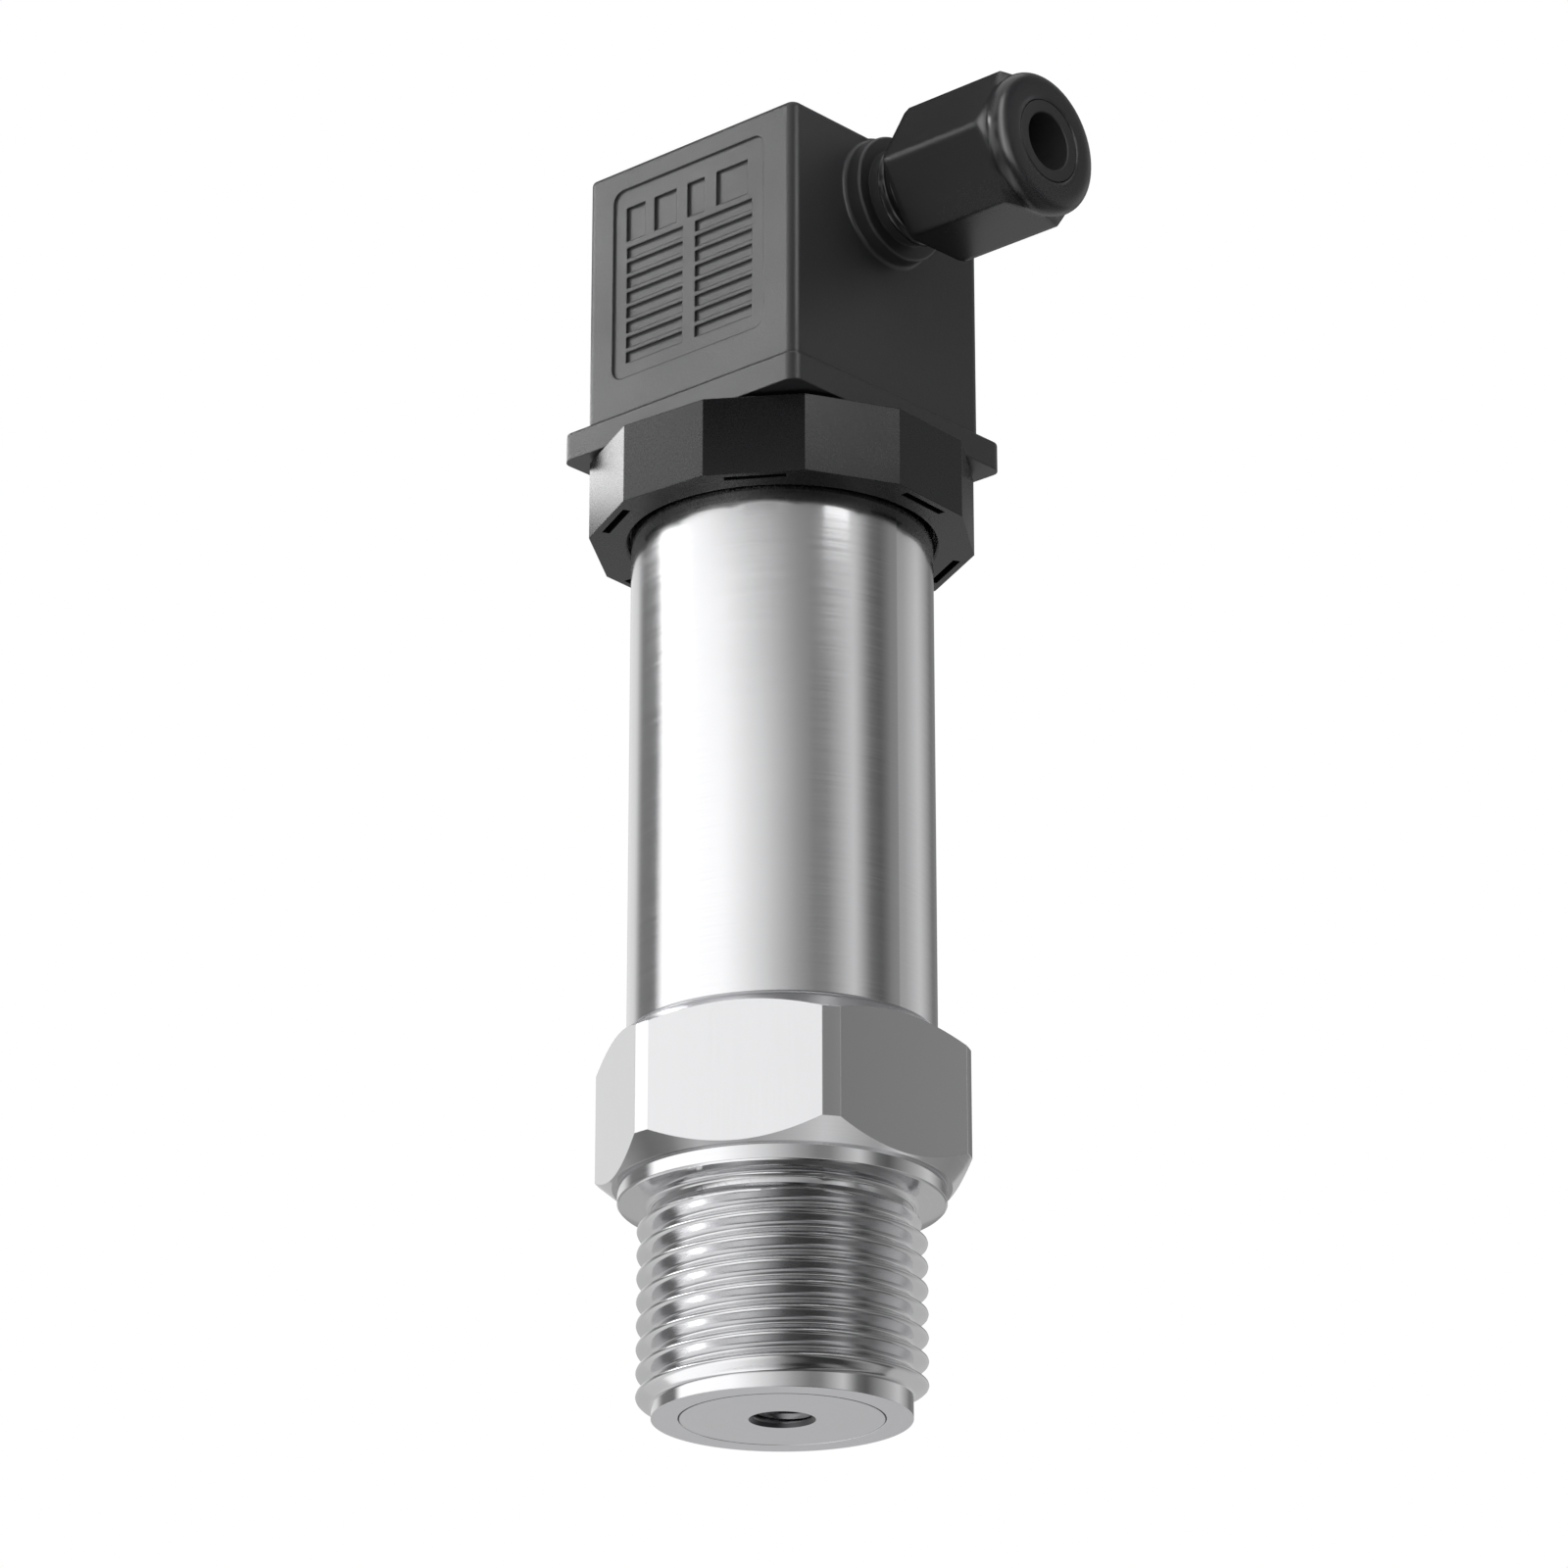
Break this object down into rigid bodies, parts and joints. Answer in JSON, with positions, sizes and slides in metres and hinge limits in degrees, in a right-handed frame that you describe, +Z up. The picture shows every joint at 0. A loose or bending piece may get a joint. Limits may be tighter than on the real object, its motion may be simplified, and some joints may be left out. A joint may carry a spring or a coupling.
{
  "type": "pressure transmitter",
  "caption": "Cylindrical steel pressure transmitter with a threaded process fitting below and a square cable plug on top, its cable gland pointing sideways.",
  "frame": {"origin": "centre of the lower end face of the process fitting, at the mouth of the pressure port", "axes": "+Z up along the tube axis, away from the process; +X toward the cable gland; the patterned face of the plug faces -Y"},
  "size_m": [0.0476, 0.0328, 0.1126],
  "materials": {
    "turned_steel": "satin",
    "tube_steel": "brushed",
    "inner_steel": "satin",
    "black_plastic": "matte",
    "nut_plastic": "matte",
    "gland_plastic": "semi gloss",
    "black_rubber": "matte",
    "brass": "satin",
    "board_green": "satin",
    "component_black": "matte",
    "lead_red": "satin",
    "grey_plastic": "matte"
  },
  "bodies": {
    "transmitter": {"process_fitting": "turned_steel", "port_disc": "turned_steel", "sensor_cell": "inner_steel", "sensor_seal": "black_rubber", "retaining_ring": "inner_steel", "sensor_pins": "brass", "housing_tube": "tube_steel", "board_holder": "grey_plastic", "circuit_board": "board_green", "board_components": "component_black", "sensor_leads": "lead_red", "output_leads": "lead_red", "connector_base": "black_plastic", "contact_blades": "inner_steel", "base_seal": "black_rubber", "threaded_insert": "brass"},
    "locking_nut": {"union_nut": "nut_plastic"},
    "plug": {"flat_gasket": "black_rubber", "plug_housing": "black_plastic", "terminal_insert": "grey_plastic", "socket_contacts": "brass", "terminal_screws": "inner_steel", "gland_seal": "black_rubber", "gland_washer": "grey_plastic", "screw_seal": "black_rubber"},
    "cable_nut": {"gland_nut": "gland_plastic"},
    "centre_screw": {"fixing_screw": "inner_steel"}
  },
  "joints": [
    {"name": "plug_pull", "type": "slide", "parent": "transmitter", "child": "plug", "axis": [0, 0, 1], "range_m": [0, 0.02]},
    {"name": "nut_turn", "type": "hinge", "parent": "transmitter", "child": "locking_nut", "pos_m": [0, 0, 0.0798], "axis": [0, 0, 1], "continuous": true},
    {"name": "gland_turn", "type": "hinge", "parent": "plug", "child": "cable_nut", "pos_m": [0.0245, -0.00109, 0.10506], "axis": [1, 0, 0], "continuous": true},
    {"name": "screw_turn", "type": "hinge", "parent": "plug", "child": "centre_screw", "pos_m": [0.00109, -0.00109, 0.1], "axis": [0, 0, 1], "continuous": true}
  ]
}
